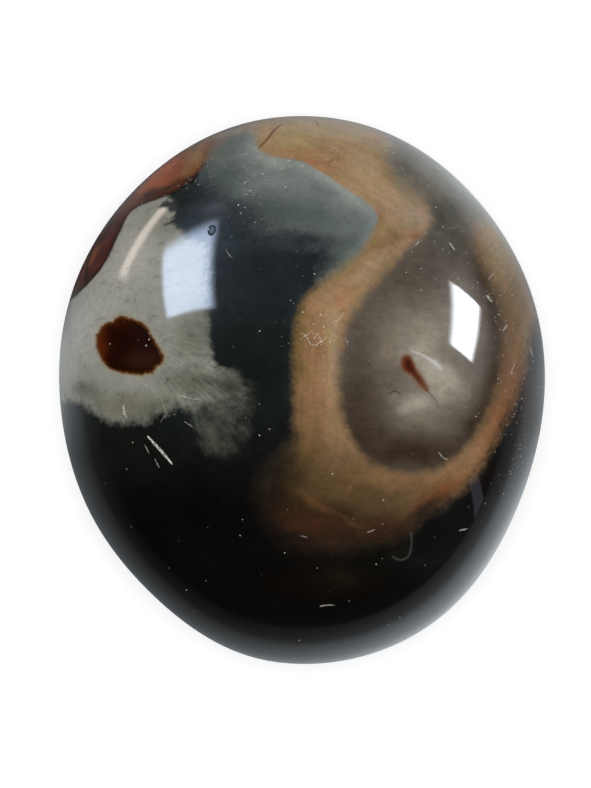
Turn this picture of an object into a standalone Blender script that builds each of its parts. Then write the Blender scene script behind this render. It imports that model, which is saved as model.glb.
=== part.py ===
"""Polychrome jasper pebble: one natural piece of stone, ground to a plump egg-like form and polished.

The pebble lies on its back on a small flat spot, with its best face up. Blender units are metres, +Z is up
and +Y points to the pebble's blunt end. The origin is on the surface it rests on, under the middle of it.
"""

import math
from dataclasses import dataclass

import bmesh
import bpy
import numpy as np

MM = 0.001

# The rounded core that the grinding wheel's flats are cut into, in millimetres from its girdle, which is
# the level of the widest outline.
CORE_HALF_WIDTH = 34.15
CORE_HALF_LENGTH = 38.2
CORE_FACE_RISE = 26.4
CORE_BACK_DEPTH = 26.2
CORE_FULLNESS = 2.05  # the power in the core's formula: 2 is an ellipsoid, and more is squarer

# How narrow the rounding is where a flat meets the core: a higher power makes a crisper flat.
POLISH_POWER = 14

# The flat spot that the pebble rests on lies this far below the girdle, in millimetres.
REST_DEPTH = 24.3

# Points this near the level of the flat spot, in millimetres, are moved onto it, so that the cut there
# leaves no thin triangles.
REST_SNAP = 0.02

SPHERE_SUBDIVISIONS = 5

STONE_COLOUR = (0.045, 0.047, 0.042, 1.0)
STONE_ROUGHNESS = 0.08
STONE_IOR = 1.54


@dataclass(frozen=True)
class GroundFlat:
    """A broad, soft flat that the wheel left."""

    azimuth: float  # degrees anticlockwise from +X, seen from above
    elevation: float  # degrees above the girdle
    distance: float  # millimetres from the middle of the core

    def normal(self):
        """The unit vector that the flat faces along."""
        azimuth, elevation = math.radians(self.azimuth), math.radians(self.elevation)
        level = math.cos(elevation)
        return np.array((math.cos(azimuth) * level, math.sin(azimuth) * level, math.sin(elevation)))


GROUND_FLATS = (
    GroundFlat(azimuth=195, elevation=0, distance=37.0),
    GroundFlat(azimuth=225, elevation=0, distance=36.6),
    GroundFlat(azimuth=338, elevation=0, distance=36.7),
    GroundFlat(azimuth=43, elevation=0, distance=41.3),
    GroundFlat(azimuth=133, elevation=0, distance=41.8),
    GroundFlat(azimuth=100, elevation=76, distance=27.6),
    GroundFlat(azimuth=250, elevation=-52, distance=31.5),
    GroundFlat(azimuth=60, elevation=-48, distance=32.5),
    GroundFlat(azimuth=0, elevation=-90, distance=26.6),
)


def surface_points(directions):
    """The points of the pebble's surface along unit directions from the middle of its core, in millimetres.

    The core and each flat say how far along a direction their own surface lies. Their inverse distances
    are summed as powers, which gives one smooth convex form with every flat blended into it.
    """
    back = directions[:, 2] < 0
    height = np.where(back, CORE_BACK_DEPTH, CORE_FACE_RISE)
    half_sizes = np.stack(
        (np.full(len(height), CORE_HALF_WIDTH), np.full(len(height), CORE_HALF_LENGTH), height), axis=1
    )
    core = (np.abs(directions / half_sizes) ** CORE_FULLNESS).sum(axis=1) ** (1 / CORE_FULLNESS)
    total = core**POLISH_POWER
    for flat in GROUND_FLATS:
        towards = np.clip(directions @ flat.normal(), 0, None)
        total += (towards / flat.distance) ** POLISH_POWER
    return directions / (total ** (1 / POLISH_POWER))[:, None]


def shape_sphere(mesh):
    """Moves a unit sphere's points out to the pebble's surface, with the girdle at height zero."""
    directions = np.empty(len(mesh.vertices) * 3)
    mesh.vertices.foreach_get("co", directions)
    directions = directions.reshape(-1, 3)
    directions /= np.linalg.norm(directions, axis=1)[:, None]
    points = surface_points(directions)
    near_rest = np.abs(points[:, 2] + REST_DEPTH) < REST_SNAP
    points[near_rest, 2] = -REST_DEPTH
    mesh.vertices.foreach_set("co", (points * MM).ravel())


def cut_rest_spot(mesh):
    """Cuts the pebble off level at its rest depth and closes the cut with one flat face with a crisp rim."""
    solid = bmesh.new()
    solid.from_mesh(mesh)
    cut = bmesh.ops.bisect_plane(
        solid,
        geom=solid.verts[:] + solid.edges[:] + solid.faces[:],
        dist=0.001 * MM,
        plane_co=(0, 0, -REST_DEPTH * MM),
        plane_no=(0, 0, -1),
        clear_outer=True,
    )
    rim = [edge for edge in cut["geom_cut"] if isinstance(edge, bmesh.types.BMEdge)]
    bmesh.ops.edgeloop_fill(solid, edges=rim)
    for face in solid.faces:
        face.smooth = True
    for edge in rim:
        edge.smooth = False
    bmesh.ops.recalc_face_normals(solid, faces=solid.faces[:])
    solid.to_mesh(mesh)
    solid.free()


def stand_on_origin(mesh):
    """Slides the mesh so that the middle of its lowest level, by its outer sizes, is at the origin."""
    points = np.empty(len(mesh.vertices) * 3)
    mesh.vertices.foreach_get("co", points)
    points = points.reshape(-1, 3)
    low, high = points.min(axis=0), points.max(axis=0)
    points -= ((low[0] + high[0]) / 2, (low[1] + high[1]) / 2, low[2])
    mesh.vertices.foreach_set("co", points.ravel())
    mesh.update()


def jasper_material():
    """The pebble's average colour and its polish."""
    material = bpy.data.materials.new("polished_jasper")
    material.use_nodes = True
    shader = material.node_tree.nodes["Principled BSDF"]
    shader.inputs["Base Color"].default_value = STONE_COLOUR
    shader.inputs["Roughness"].default_value = STONE_ROUGHNESS
    shader.inputs["Metallic"].default_value = 0.0
    shader.inputs["IOR"].default_value = STONE_IOR
    return material


def make_pebble(collection):
    """Makes the pebble from a sphere of even triangles."""
    bpy.ops.mesh.primitive_ico_sphere_add(subdivisions=SPHERE_SUBDIVISIONS, radius=1.0)
    pebble = bpy.context.object
    pebble.name = "pebble"
    pebble.data.name = "pebble"
    for other in pebble.users_collection:
        other.objects.unlink(pebble)
    collection.objects.link(pebble)
    shape_sphere(pebble.data)
    cut_rest_spot(pebble.data)
    stand_on_origin(pebble.data)
    pebble.data.materials.append(jasper_material())
    return pebble


def main():
    for old in list(bpy.data.objects):
        bpy.data.objects.remove(old)
    collection = bpy.data.collections.new("polychrome_jasper_pebble")
    bpy.context.scene.collection.children.link(collection)
    make_pebble(collection)


main()
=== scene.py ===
"""The polished jasper pebble as photographed: its fine surface, its markings, its polish and the studio.

The pebble lies on its back with its face up, and the camera looks straight down on it. Shapes are in
millimetres from the middle of the pebble's core, at the girdle, unless a name says otherwise. The markings
are painted by outlines, soft clouds of colour and fine strokes, placed on the photograph's grid of 591 by 788
pixels, which the camera lays over the face. Below the girdle the grid carries on down the pebble's sides. The
back has its own painting, placed as it would be seen through the stone by the same camera, and the two pass
smoothly into each other round the sides.
"""

import itertools
import logging
import math
from collections.abc import Sequence
from dataclasses import dataclass
from enum import Enum

import bpy
import numpy as np
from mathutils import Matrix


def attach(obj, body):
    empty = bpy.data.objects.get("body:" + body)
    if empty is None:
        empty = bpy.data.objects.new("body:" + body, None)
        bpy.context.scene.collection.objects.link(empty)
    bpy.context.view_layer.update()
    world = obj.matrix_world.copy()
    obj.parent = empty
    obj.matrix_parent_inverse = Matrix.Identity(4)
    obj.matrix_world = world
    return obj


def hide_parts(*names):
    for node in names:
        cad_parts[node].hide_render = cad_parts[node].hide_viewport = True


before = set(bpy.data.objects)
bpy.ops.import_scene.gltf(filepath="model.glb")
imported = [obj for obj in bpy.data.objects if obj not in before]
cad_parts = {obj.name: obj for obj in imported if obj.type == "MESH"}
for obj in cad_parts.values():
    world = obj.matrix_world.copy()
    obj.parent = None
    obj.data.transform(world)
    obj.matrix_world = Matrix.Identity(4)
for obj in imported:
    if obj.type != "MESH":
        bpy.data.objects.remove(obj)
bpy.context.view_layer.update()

NODE = "pebble"
SLOT = "polished_jasper"
MM = 0.001

log = logging.getLogger("pebble")

Pair = tuple[float, float]
Triple = tuple[float, float, float]
Socket = bpy.types.NodeSocket


class Tint(Enum):
    """The stone's own colours, as they look on a screen, but for the pit's rim and inside, which hold painted
    light.
    """

    INK = (7, 7, 7)
    NIGHT_GREEN = (16, 19, 15)
    NIGHT_BROWN = (16, 11, 7)
    BOTTLE = (23, 27, 25)
    MIDNIGHT = (29, 34, 38)
    CHARCOAL = (38, 44, 47)
    SLATE_SHADOW = (54, 60, 60)
    MOSS_SLATE = (72, 80, 75)
    SLATE = (94, 101, 98)
    BLUE_SLATE = (105, 111, 108)
    PALE_SLATE = (119, 123, 119)
    SLATE_HAZE = (136, 137, 130)
    PLUM_GREY = (74, 77, 83)
    # The pit's tints: a painted shade for its rim, and for its inside the stone's grey with a painted
    # reflection of the window's blue.
    DUSK = (50, 59, 69)
    WORN_BLUE = (76, 89, 103)
    SMOKE = (58, 59, 51)
    GREY_SMOKE = (80, 80, 72)
    SAGE_SHADOW = (90, 90, 77)
    SAGE_GREEN = (108, 106, 92)
    SAGE = (135, 134, 124)
    PALE_SAGE = (157, 155, 147)
    MAHOGANY = (28, 5, 0)
    BURNT_SUGAR = (92, 30, 0)
    CHESTNUT = (50, 24, 14)
    AMBER = (88, 50, 12)
    MAROON = (76, 38, 29)
    DARK_MAROON = (44, 19, 13)
    RUST = (117, 61, 38)
    BURNT_RUST = (96, 44, 22)
    FIRED_RUST = (182, 98, 58)
    OCHRE_RUST = (138, 106, 68)
    LICHEN = (140, 126, 106)
    UMBER = (52, 41, 31)
    DARK_UMBER = (40, 29, 17)
    RED_UMBER = (62, 36, 23)
    OLIVE_UMBER = (84, 65, 40)
    OLIVE = (104, 83, 46)
    OCHRE = (134, 112, 74)
    STRAW = (162, 139, 97)
    TAN = (149, 120, 88)
    CLAY = (134, 100, 70)
    FAWN = (118, 90, 67)
    BURNT = (112, 66, 38)
    COPPER = (148, 108, 74)
    ROSE_TAN = (155, 135, 116)
    SAND = (161, 142, 112)
    PLUM = (79, 70, 61)
    TAUPE = (96, 87, 77)
    WARM_TAUPE = (112, 102, 89)
    PALE_TAUPE = (134, 126, 112)
    BONE = (160, 154, 139)
    OLIVE_ASH = (76, 73, 65)
    ASH = (108, 102, 90)
    PALE_ASH = (126, 123, 113)


class Mark(Enum):
    """The kinds of fine stroke, by the colour that each has in the stone, but for the glint, which is a
    painted highlight.
    """

    SCRATCH = (212, 206, 194)
    GLINT = (206, 201, 200)
    HAIRLINE = (24, 15, 11)
    CRACK = (108, 62, 36)
    HALO = (122, 76, 50)
    DART = (92, 42, 14)
    CORE = (50, 15, 0)


# How far the edge of a stroke is blurred, in millimetres: of most kinds, and of the softer ones.
SHARP = 0.07
SOFT = {Mark.HALO: 1.1, Mark.DART: 0.8, Mark.CORE: 0.7, Mark.GLINT: 0.55, Mark.HAIRLINE: 0.14}


def eased(value: np.ndarray, low: float, high: float) -> np.ndarray:
    """Rises smoothly from 0 where value is low to 1 where it is high."""
    share = np.clip((value - low) / (high - low), 0.0, 1.0)
    return share * share * (3.0 - 2.0 * share)


def linear(screen: np.ndarray) -> np.ndarray:
    """Light values for screen colours given as numbers from 0 to 255."""
    share = np.asarray(screen, float) / 255
    return np.where(share <= 0.04045, share / 12.92, ((share + 0.055) / 1.055) ** 2.4)


def seen(colour: Enum | Triple) -> tuple[float, float, float, float]:
    """A shader's colour for a tint, a mark or a screen colour given as three numbers from 0 to 255."""
    red, green, blue = linear(np.array(colour.value if isinstance(colour, Enum) else colour))
    return (float(red), float(green), float(blue), 1.0)


def leave(mesh: bpy.types.Mesh, name: str, values: np.ndarray) -> None:
    """Leaves one number, or three, at each of the mesh's points under a name."""
    kind, key = ("FLOAT", "value") if values.ndim == 1 else ("FLOAT_VECTOR", "vector")
    mesh.attributes.new(name, kind, "POINT").data.foreach_set(key, values.astype(np.float32).ravel())


@dataclass(frozen=True)
class GroundFlat:
    """A broad, soft flat that the grinding wheel left, with its angles in degrees."""

    azimuth: float
    elevation: float
    distance: float

    def normal(self) -> np.ndarray:
        """Where the flat faces.

        Returns:
            A unit vector.
        """
        azimuth, elevation = math.radians(self.azimuth), math.radians(self.elevation)
        level = math.cos(elevation)
        return np.array((math.cos(azimuth) * level, math.sin(azimuth) * level, math.sin(elevation)))


@dataclass(frozen=True)
class PebbleForm:
    """The pebble's shape: the same rounded core and ground flats as its solid."""

    half_width: float = 34.15
    half_length: float = 38.2
    face_rise: float = 26.4
    back_depth: float = 26.2
    fullness: float = 2.05
    polish_power: float = 14.0
    rest_depth: float = 24.3
    flats: tuple[GroundFlat, ...] = (
        GroundFlat(195, 0, 37.0), GroundFlat(225, 0, 36.6), GroundFlat(338, 0, 36.7), GroundFlat(43, 0, 41.3),
        GroundFlat(133, 0, 41.8), GroundFlat(100, 76, 27.6), GroundFlat(250, -52, 31.5),
        GroundFlat(60, -48, 32.5), GroundFlat(0, -90, 26.6),
    )
    slope_step: float = 0.05
    halvings: int = 60

    def gauge(self, points: np.ndarray) -> np.ndarray:
        """How far out each point is, as a share of the way to the surface.

        Args:
            points: An array of points, one to a row.

        Returns:
            One number for each point: 1 on the surface, less inside and more outside.
        """
        height = np.where(points[:, 2] < 0, self.back_depth, self.face_rise)
        half_sizes = np.stack(
            (np.full(len(points), self.half_width), np.full(len(points), self.half_length), height), axis=1
        )
        core = (np.abs(points / half_sizes) ** self.fullness).sum(axis=1) ** (1 / self.fullness)
        total = core**self.polish_power
        for flat in self.flats:
            towards = np.clip(points @ flat.normal(), 0, None)
            total += (towards / flat.distance) ** self.polish_power
        return total ** (1 / self.polish_power)

    def skin(self, directions: np.ndarray) -> np.ndarray:
        """The surface, cut off level at the flat spot that it rests on.

        Args:
            directions: The directions from the core's middle, one to a row.

        Returns:
            The point along each of them.
        """
        points = directions / self.gauge(directions)[:, None]
        points[:, 2] = np.maximum(points[:, 2], -self.rest_depth)
        return points

    def normal(self, point: np.ndarray) -> np.ndarray:
        """Where the surface faces.

        Args:
            point: A point on it.

        Returns:
            A unit vector that points straight out.
        """
        gauge = self.gauge(point + np.vstack((np.eye(3), -np.eye(3))) * self.slope_step)
        slope = gauge[:3] - gauge[3:]
        return slope / np.linalg.norm(slope)

    def struck(self, start: np.ndarray, towards: np.ndarray) -> np.ndarray:
        """The first point of the surface on a straight line.

        Args:
            start: Where the line starts, outside the pebble.
            towards: The way it runs, as a unit vector.

        Returns:
            The point where it meets the surface.
        """
        near, far = 0.0, float(-start @ towards)
        for _ in range(self.halvings):
            middle = (near + far) / 2
            if self.gauge((start + towards * middle)[None])[0] > 1:
                near = middle
            else:
                far = middle
        return start + towards * far


@dataclass(frozen=True)
class PhotoView:
    """Where the photograph was taken from, and how its pixels lie over the pebble."""

    width: int = 591
    height: int = 788
    middle: Pair = (302.0, 390.0)
    pixels_per_mm: float = 7.147
    distance: float = 300.0
    sensor: float = 36.0
    unroll: float = 0.8
    narrowest: float = 12.0

    def lens_at(self) -> np.ndarray:
        """Where the lens is.

        Returns:
            Its place, in millimetres.
        """
        across = (self.width / 2 - self.middle[0]) / self.pixels_per_mm
        along = (self.middle[1] - self.height / 2) / self.pixels_per_mm
        return np.array((across, along, self.distance))

    def focal_length(self) -> float:
        """The lens's focal length, for a sensor whose long side is as long as the picture's."""
        return self.pixels_per_mm * self.distance / self.height * self.sensor

    def millimetres(self, pixels: Sequence[Pair] | np.ndarray) -> np.ndarray:
        """Where pixels fall on the level of the girdle."""
        return (np.asarray(pixels, float) - self.middle) * (1, -1) / self.pixels_per_mm

    def pixels(self, places: np.ndarray) -> np.ndarray:
        """The pixels of places on the level of the girdle."""
        return places * (1, -1) * self.pixels_per_mm + self.middle

    def scaled(self, knots: Sequence[Triple]) -> np.ndarray:
        """Knots in millimetres, from their pixels and their widths in pixels."""
        rows = np.array(knots, float)
        return np.column_stack((self.millimetres(rows[:, :2]), rows[:, 2] / self.pixels_per_mm))

    def laid_over(self, points: np.ndarray) -> np.ndarray:
        """Where points are on the photograph's grid, which carries on down the sides.

        Args:
            points: Points of the surface.

        Returns:
            Two coordinates for each, in millimetres on the level of the girdle.
        """
        lens = self.lens_at()
        share = self.distance / (self.distance - np.maximum(points[:, 2], 0))
        places = lens[:2] + (points[:, :2] - lens[:2]) * share[:, None]
        reach = np.maximum(np.hypot(points[:, 0], points[:, 1]), self.narrowest)
        below = np.maximum(-points[:, 2], 0)
        return places * (1 + self.unroll * below / reach)[:, None]

    def ray(self, pixel: Pair) -> np.ndarray:
        """The way that the camera looks.

        Args:
            pixel: The pixel that it looks through.

        Returns:
            A unit vector.
        """
        across, along = self.millimetres([pixel])[0]
        ray = np.array((across, along, 0.0)) - self.lens_at()
        return ray / np.linalg.norm(ray)


@dataclass(frozen=True)
class Drift:
    """Smooth random drift through the stone, the same at every run."""

    seed: int
    cells: int = 32

    def at(self, points: np.ndarray, size: float) -> np.ndarray:
        """The drift at each point.

        Args:
            points: The points.
            size: How far apart its swells are.

        Returns:
            Two numbers from -1 to 1 for each point.
        """
        table = np.random.default_rng(self.seed).uniform(-1, 1, (self.cells,) * 3 + (2,))
        scaled = points / size
        low = np.floor(scaled).astype(int)
        share = eased(scaled - low, 0, 1)
        total = np.zeros((len(points), 2))
        for corner in itertools.product((0, 1), repeat=3):
            weight = np.prod(np.where(corner, share, 1 - share), axis=1)
            x, y, z = ((low + corner) % self.cells).T
            total += table[x, y, z] * weight[:, None]
        return total


def flowing(knots: np.ndarray, steps: int) -> np.ndarray:
    """A smooth curve through knots.

    Args:
        knots: The knots, one to a row, with one more before the curve's start and two after it.
        steps: How many points it has to a knot.

    Returns:
        The curve's points, in order, without the last knot's.
    """
    before, here, after, later = knots[:-3], knots[1:-2], knots[2:-1], knots[3:]
    rows = []
    for step in range(steps):
        t = step / steps
        slope, bend = after - before, 2 * before - 5 * here + 4 * after - later
        twist = 3 * here - before - 3 * after + later
        rows.append(0.5 * (2 * here + slope * t + bend * t**2 + twist * t**3))
    return np.stack(rows, axis=1).reshape(-1, knots.shape[1])


@dataclass(frozen=True)
class Outline:
    """A closed outline: the pixels that its smooth curve passes through, and half its edge's fade at each."""

    knots: tuple[Triple, ...]
    steps: int = 3
    least_fade: float = 0.02

    def measured(self, places: np.ndarray, view: PhotoView) -> np.ndarray:
        """How each place lies to the outline.

        Args:
            places: Two coordinates for each place.
            view: The camera, which sets the outline's scale.

        Returns:
            For each place, its depth inside the outline, which is negative outside, how far along the outline
            the nearest point of it is, and half the edge's fade there.
        """
        knots = view.scaled(self.knots)
        curve = flowing(np.vstack((knots[-1:], knots, knots[:2])), self.steps)
        nearest = np.full(len(places), np.inf)
        found = np.zeros((len(places), 2))
        inside = np.zeros(len(places), bool)
        run = 0.0
        for start, end in zip(curve, np.roll(curve, -1, axis=0)):
            side = end[:2] - start[:2]
            length = float(np.hypot(*side))
            offset = places - start[:2]
            share = np.clip(offset @ side / length**2, 0, 1)
            apart = np.hypot(offset[:, 0] - side[0] * share, offset[:, 1] - side[1] * share)
            closer = apart < nearest
            nearest[closer] = apart[closer]
            fade = start[2] + (end[2] - start[2]) * share[closer]
            found[closer] = np.column_stack((run + share[closer] * length, np.maximum(fade, self.least_fade)))
            run += length
            if side[1]:
                spans = (start[1] > places[:, 1]) != (end[1] > places[:, 1])
                inside ^= spans & (offset[:, 0] < side[0] * offset[:, 1] / side[1])
        return np.column_stack((np.where(inside, nearest, -nearest), found))


def even_fade(fade: float, *pixels: Pair) -> Outline:
    """An outline whose edge fades alike all round."""
    return Outline(tuple((x, y, fade) for x, y in pixels))


@dataclass(frozen=True)
class Cloud:
    """A soft patch of one of the stone's colours, placed in pixels. A tilt turns it clockwise."""

    tint: Tint
    x: float
    y: float
    across: float
    along: float
    tilt: float = 0.0
    strength: float = 1.0

    def cover(self, pixels: np.ndarray) -> np.ndarray:
        """How strongly the patch covers each place.

        Args:
            pixels: The places, in pixels.

        Returns:
            Numbers from 0 to its strength.
        """
        turn = math.radians(self.tilt)
        right, down = (pixels - (self.x, self.y)).T
        across = (right * math.cos(turn) + down * math.sin(turn)) / self.across
        along = (down * math.cos(turn) - right * math.sin(turn)) / self.along
        return self.strength * np.exp(-(across**2) - along**2)


@dataclass(frozen=True)
class Painting:
    """The colours of a marking: one all over, and clouds laid on it in order."""

    ground: Tint
    clouds: tuple[Cloud, ...]

    def at(self, pixels: np.ndarray) -> np.ndarray:
        """The colour at each place.

        Args:
            pixels: The places, in pixels.

        Returns:
            Three numbers from 0 to 255 for each, as on a screen.
        """
        colour = np.tile(np.array(self.ground.value, float), (len(pixels), 1))
        for cloud in self.clouds:
            colour += (cloud.tint.value - colour) * cloud.cover(pixels)[:, None]
        return colour


def painted(ground: Tint, *clouds: tuple[Tint | float, ...]) -> Painting:
    """A painting from the tint all over and the values of its clouds, in the order of a cloud's fields."""
    return Painting(ground, tuple(Cloud(*values) for values in clouds))


@dataclass(frozen=True)
class Marking:
    """One of the stone's patches, with its outline and colours on the face and on the back.

    Without an outline on the back, it counts as so far away there, in millimetres, as its absence says.
    """

    name: str
    painting: Painting
    outline: Outline | None = None
    back_painting: Painting | None = None
    back_outline: Outline | None = None
    absence: float = 5.0


@dataclass(frozen=True)
class Stroke:
    """A fine line, with the pixels that it passes through and half its width in pixels at each."""

    mark: Mark
    strength: float
    knots: tuple[Triple, ...]
    steps: int = 4

    def curve(self, view: PhotoView) -> np.ndarray:
        """Points close together along the line, with its half width at each, all in millimetres."""
        knots = view.scaled(self.knots)
        return np.vstack((flowing(np.vstack((knots[:1], knots, knots[-1:])), self.steps), knots[-1:]))


def drawn(mark: Mark, *strokes: tuple[float | Triple, ...]) -> list[Stroke]:
    """Strokes of one kind, each from its strength and its knots."""
    return [Stroke(mark, strength, tuple(knots)) for strength, *knots in strokes]


# The markings, in pixels. After a painting's ground, each cloud is its tint, middle, radii, tilt, strength.
# A knot of an outline ends with half the edge's fade there, and a knot of a stroke with half its width. A
# stroke is its strength and its knots.
BODY = Marking(
    "body",
    painted(
        Tint.BOTTLE, (Tint.MIDNIGHT, 280, 270, 90, 62), (Tint.CHARCOAL, 250, 238, 56, 16, 0, 0.8),
        (Tint.CHARCOAL, 320, 298, 20, 46, 20, 0.5), (Tint.NIGHT_GREEN, 242, 348, 36, 34, 0, 0.5),
        (Tint.INK, 300, 590, 330, 104), (Tint.INK, 170, 520, 140, 62), (Tint.NIGHT_GREEN, 115, 448, 60, 24),
        (Tint.NIGHT_BROWN, 326, 584, 80, 22), (Tint.DARK_UMBER, 340, 576, 28, 22, 0, 0.35),
        (Tint.RED_UMBER, 320, 544, 36, 13, 0, 0.5), (Tint.RED_UMBER, 400, 548, 18, 14, 0, 0.35),
        (Tint.NIGHT_GREEN, 430, 560, 60, 20), (Tint.RED_UMBER, 530, 398, 12, 52, 8, 0.7),
        (Tint.NIGHT_BROWN, 500, 480, 24, 40, 30),
    ),
    back_painting=painted(
        Tint.NIGHT_GREEN, (Tint.BOTTLE, 260, 380, 150, 110), (Tint.MIDNIGHT, 300, 250, 90, 60),
        (Tint.NIGHT_BROWN, 400, 500, 80, 50),
    ),
)

SLATE = Marking(
    "slate",
    painted(
        Tint.SLATE, (Tint.PALE_SLATE, 258, 148, 40, 14, -4, 0.9),
        (Tint.PALE_SLATE, 292, 180, 54, 13, 10, 0.8), (Tint.BLUE_SLATE, 345, 206, 36, 22, 30),
        (Tint.MOSS_SLATE, 284, 212, 70, 9, 4, 0.8), (Tint.MOSS_SLATE, 226, 178, 15, 15, 0, 0.9),
        (Tint.SLATE_SHADOW, 204, 172, 10, 16, 0, 0.7), (Tint.MOSS_SLATE, 218, 148, 16, 12, 0, 0.6),
        (Tint.SLATE_SHADOW, 238, 208, 26, 13), (Tint.SLATE_SHADOW, 300, 236, 52, 10, 4),
        (Tint.SLATE_SHADOW, 212, 190, 12, 9, 0, 0.7), (Tint.MOSS_SLATE, 334, 264, 24, 14, -42),
        (Tint.SLATE_SHADOW, 322, 260, 12, 22, 0, 0.7), (Tint.SAGE_GREEN, 217, 150, 8, 13, 20, 0.6),
        (Tint.SLATE_HAZE, 322, 178, 34, 7, 35, 0.55), (Tint.SLATE_HAZE, 356, 203, 24, 8, 36, 0.45),
        (Tint.SLATE_HAZE, 276, 162, 28, 7, 6, 0.6),
    ),
    Outline((
        (200, 172, 3), (214, 134, 3), (236, 110, 3), (238, 50, 6), (290, 20, 8), (360, 50, 8), (400, 120, 4),
        (400, 190, 3), (392, 238, 3), (378, 252, 5), (345, 278, 7), (332, 290, 8), (322, 290, 10),
        (320, 277, 12), (324, 249, 16), (254, 224, 20), (206, 195, 9), (197, 184, 4),
    )),
    back_painting=painted(
        Tint.MOSS_SLATE, (Tint.SLATE_SHADOW, 220, 520, 70, 50), (Tint.BLUE_SLATE, 320, 570, 80, 40, 10),
    ),
    back_outline=even_fade(
        9, (150, 500), (230, 470), (320, 500), (410, 545), (400, 620), (300, 660), (200, 640), (140, 570),
    ),
)

SAGE = Marking(
    "sage",
    painted(
        Tint.SAGE, (Tint.PALE_SAGE, 86, 316, 30, 44), (Tint.PALE_SAGE, 124, 262, 26, 42, 20),
        (Tint.PALE_SAGE, 146, 384, 20, 9, 0, 0.5), (Tint.SAGE_GREEN, 166, 226, 22, 13, -8, 0.6),
        (Tint.SAGE_GREEN, 192, 336, 16, 26, 0, 0.8), (Tint.SAGE_SHADOW, 208, 334, 13, 30, 0, 0.7),
        (Tint.SAGE_SHADOW, 200, 385, 34, 13, 12), (Tint.SAGE_GREEN, 130, 404, 40, 16),
        (Tint.SAGE_SHADOW, 140, 418, 30, 8, -14, 0.6), (Tint.SAGE_SHADOW, 88, 393, 18, 10, 10, 0.8),
        (Tint.SAGE_SHADOW, 160, 408, 20, 8, -20, 0.7), (Tint.SMOKE, 236, 388, 20, 14),
    ),
    Outline((
        (45, 312, 1.5), (66, 304, 1.5), (93, 279, 1.5), (107, 260, 1.5), (122, 228, 1.5), (131, 212, 1.5),
        (144, 204, 1.5), (168, 196, 3), (178, 206, 3), (175, 218, 3), (182, 229, 5), (190, 236, 9),
        (203, 239, 9), (208, 250, 8), (208, 295, 8), (208, 320, 5), (209, 342, 5), (213, 357, 5),
        (222, 368, 6), (237, 378, 9), (240, 388, 12), (226, 396, 13), (188, 402, 12), (158, 413, 8),
        (144, 421, 7), (112, 422, 6), (86, 406, 6), (58, 402, 4), (0, 430, 8), (-50, 410, 10), (-70, 350, 10),
        (-30, 300, 6),
    )),
    back_painting=painted(
        Tint.SAGE, (Tint.PALE_SAGE, 130, 380, 40, 30, -20), (Tint.SAGE_SHADOW, 190, 440, 40, 30),
        (Tint.SAGE_GREEN, 120, 460, 50, 30),
    ),
    back_outline=even_fade(
        7, (10, 300), (90, 330), (150, 326), (206, 322), (236, 360), (238, 420), (200, 466), (150, 500),
        (70, 490), (10, 420),
    ),
)

PLUME = Marking(
    "plume",
    painted(
        Tint.SMOKE, (Tint.SAGE_GREEN, 206, 379, 26, 8, 20), (Tint.GREY_SMOKE, 220, 400, 24, 24, 30),
        (Tint.CHARCOAL, 182, 413, 22, 6, 14, 0.8),
    ),
    Outline((
        (190, 352, 5), (212, 361, 6), (244, 382, 11), (248, 396, 13), (237, 441, 15), (226, 450, 15),
        (206, 445, 12), (195, 423, 10), (185, 414, 9), (170, 409, 8), (184, 385, 8),
    )),
    absence=6.0,
)

FEATHER = Marking(
    "feather",
    painted(
        Tint.CHARCOAL, (Tint.BOTTLE, 182, 202, 16, 14, 0, 0.6), (Tint.PLUM_GREY, 214, 208, 20, 9, -10, 0.8),
    ),
    Outline((
        (160, 206, 2), (170, 199, 4), (181, 194, 5), (198, 181, 6), (210, 186, 9), (238, 212, 16),
        (246, 232, 16), (232, 250, 14), (213, 246, 8), (193, 238, 6), (180, 228, 4), (167, 225, 2),
        (175, 217, 2), (175, 211, 2),
    )),
)

RUST = Marking(
    "rust",
    painted(
        Tint.RUST, (Tint.BURNT_RUST, 176, 182, 40, 14, -34, 0.9), (Tint.MAROON, 108, 236, 16, 62, 28),
        (Tint.DARK_MAROON, 86, 284, 9, 22, 36, 0.7), (Tint.FIRED_RUST, 172, 158, 34, 8, -38, 0.6),
        (Tint.FIRED_RUST, 153, 186, 26, 12, -42, 0.7), (Tint.OCHRE_RUST, 201, 154, 11, 15, 24),
        (Tint.OCHRE_RUST, 188, 171, 14, 5, -38, 0.6), (Tint.RED_UMBER, 174, 186, 24, 4, -26),
        (Tint.LICHEN, 236, 128, 40, 12, -10), (Tint.FIRED_RUST, 96, 246, 6, 36, 30, 0.4),
        (Tint.CHESTNUT, 112, 242, 5, 30, 28, 0.5), (Tint.CHESTNUT, 154, 198, 18, 5, -12, 0.8),
    ),
    Outline((
        (45, 312, 1), (66, 304, 1), (93, 279, 1), (107, 260, 1), (122, 228, 1), (131, 212, 1), (144, 204, 1),
        (168, 195, 2), (191, 179, 3.5), (202, 166, 5), (218, 141, 8), (254, 130, 8), (268, 122, 6),
        (272, 108, 5), (262, 78, 5), (225, 52, 6), (165, 58, 6), (95, 96, 6), (38, 160, 6), (-4, 280, 5),
    )),
    back_painting=painted(
        Tint.MAROON, (Tint.RUST, 200, 190, 60, 30, -30), (Tint.FIRED_RUST, 140, 192, 74, 26, -46, 0.62),
        (Tint.DARK_MAROON, 150, 280, 50, 20, -20), (Tint.OCHRE_RUST, 270, 160, 40, 20, -20),
    ),
    back_outline=even_fade(
        6, (0, 300), (70, 330), (130, 318), (186, 300), (206, 254), (240, 220), (290, 196), (330, 150),
        (320, 90), (220, 70), (90, 130), (20, 220),
    ),
)

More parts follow.
